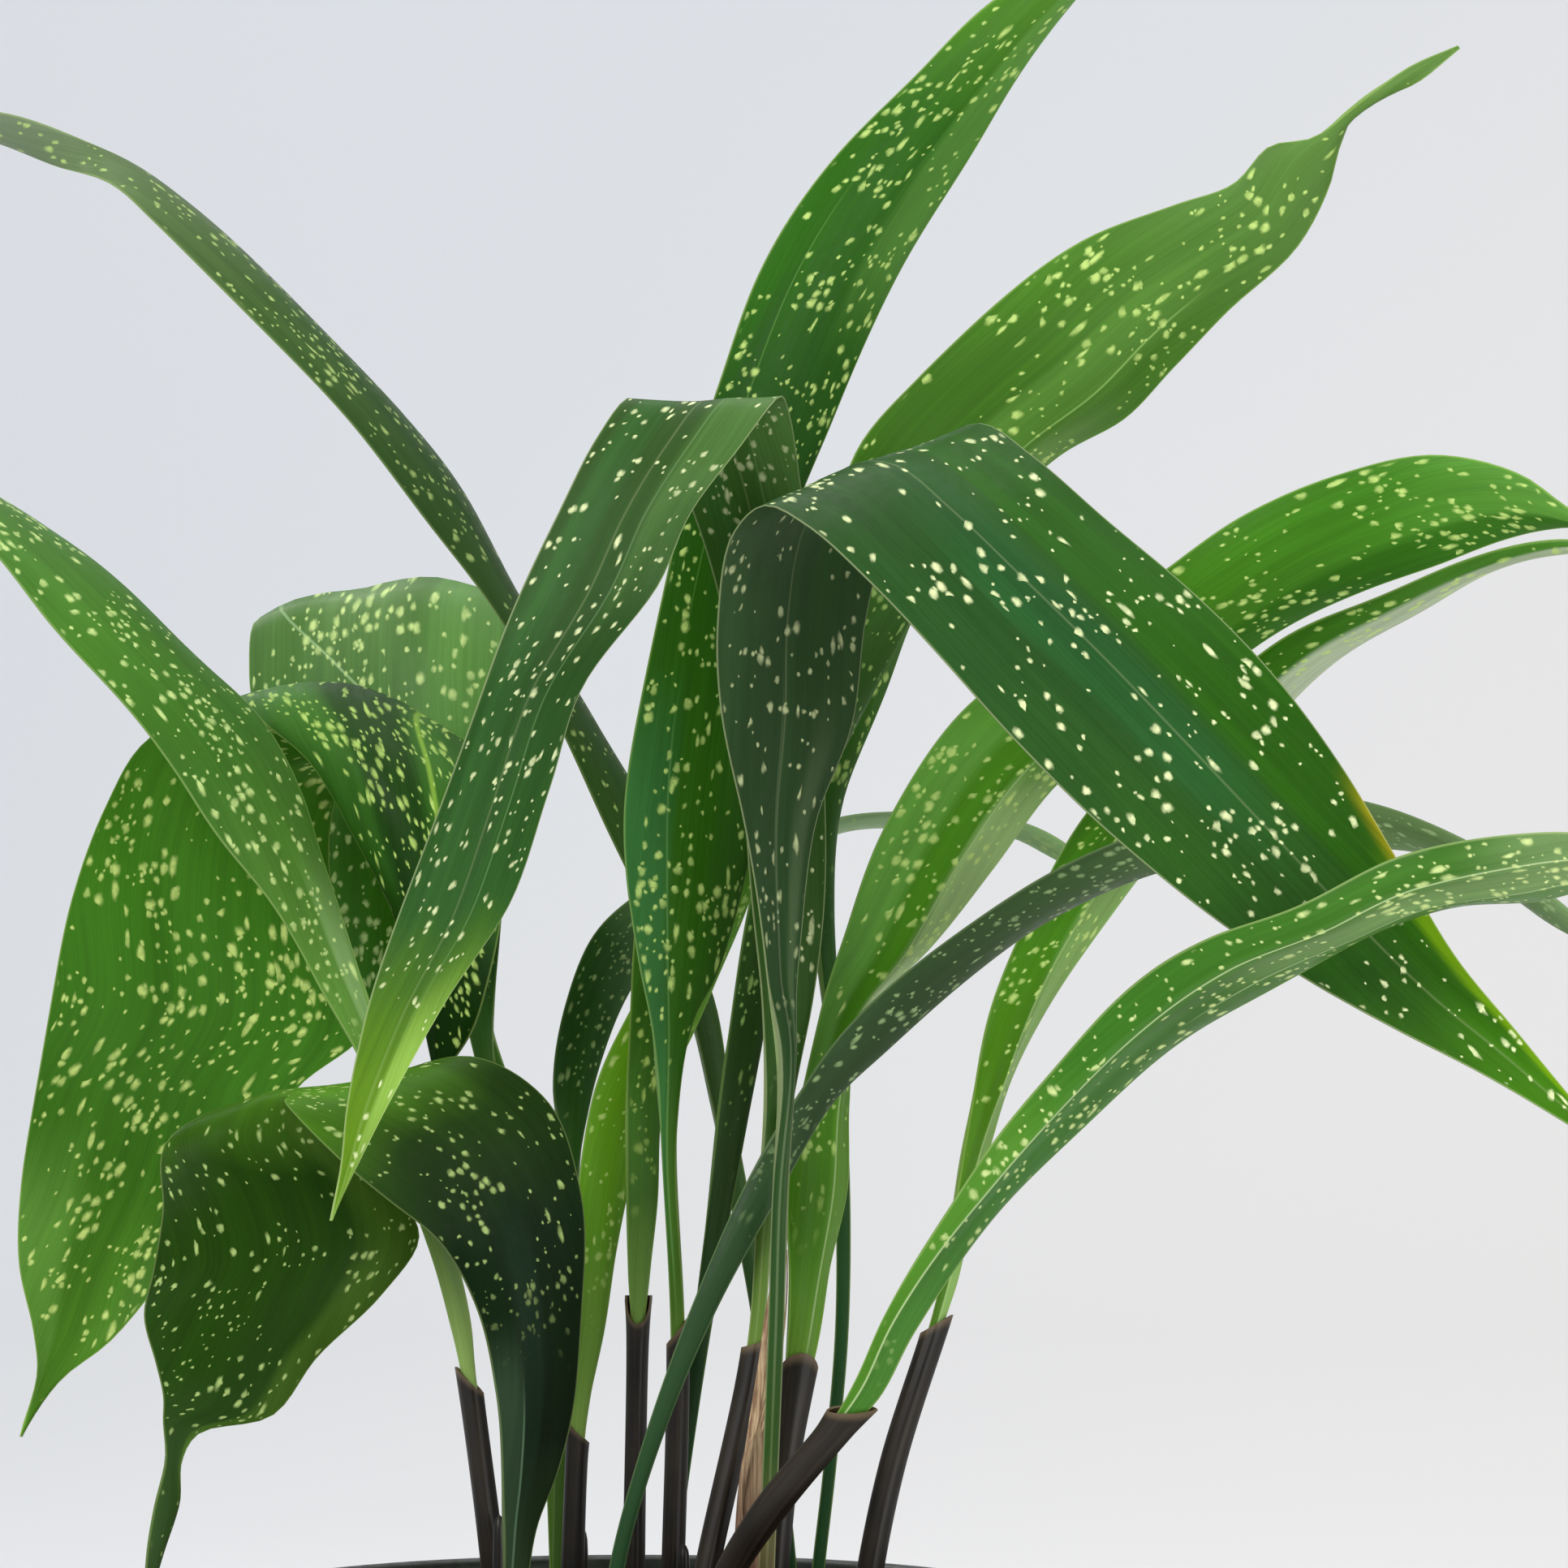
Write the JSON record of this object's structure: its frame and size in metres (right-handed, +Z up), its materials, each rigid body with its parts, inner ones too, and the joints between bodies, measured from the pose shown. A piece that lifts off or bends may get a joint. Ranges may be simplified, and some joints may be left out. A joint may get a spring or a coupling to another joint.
{
  "type": "potted cast iron plant",
  "caption": "Cast iron plant with arching cream-spotted green leaves on long stalks, growing from a dark plastic nursery pot with drain holes.",
  "frame": {"origin": "centre of the pot's foot", "axes": "+Z up through the pot and the leaves, -Y towards the side shown in the picture"},
  "size_m": [0.5579, 0.3138, 0.7094],
  "materials": {
    "pot_plastic": "near black moulded plastic, slightly worn",
    "compost": "damp bark compost",
    "rhizome": "pale knotted creeping stem",
    "leaf": "half gloss leaf, cream spots and fine lengthwise veins",
    "sheath": "dull purple brown scale with pale streaks",
    "dry_sheath": "dry, papery and fibrous"
  },
  "bodies": {
    "root": {"pot": "pot_plastic", "soil": "compost", "rhizome": "rhizome", "leaf_tall": "leaf", "leaf_front_arch": "leaf", "leaf_broad_arch": "leaf", "leaf_upper_right": "leaf", "leaf_right_back": "leaf", "leaf_right_low": "leaf", "leaf_long_slanting": "leaf", "leaf_right_front": "leaf", "leaf_back_arch": "leaf", "leaf_upper_left": "leaf", "leaf_broad_left": "leaf", "leaf_left_slanting": "leaf", "leaf_folded_front": "leaf", "leaf_middle_left": "leaf", "leaf_back_left": "leaf", "leaf_middle": "leaf", "leaf_young_left": "leaf", "leaf_narrow_middle": "leaf", "sheath_tall": "sheath", "sheath_front_arch": "sheath", "sheath_right_back": "sheath", "sheath_right_low": "sheath", "sheath_right_front": "sheath", "sheath_left_slanting": "sheath", "sheath_middle": "sheath", "sheath_young_left": "sheath", "dry_sheath": "dry_sheath", "bud_scale_1": "sheath", "bud_scale_2": "sheath", "bud_scale_3": "sheath", "bud_scale_4": "sheath"}
  },
  "joints": []
}
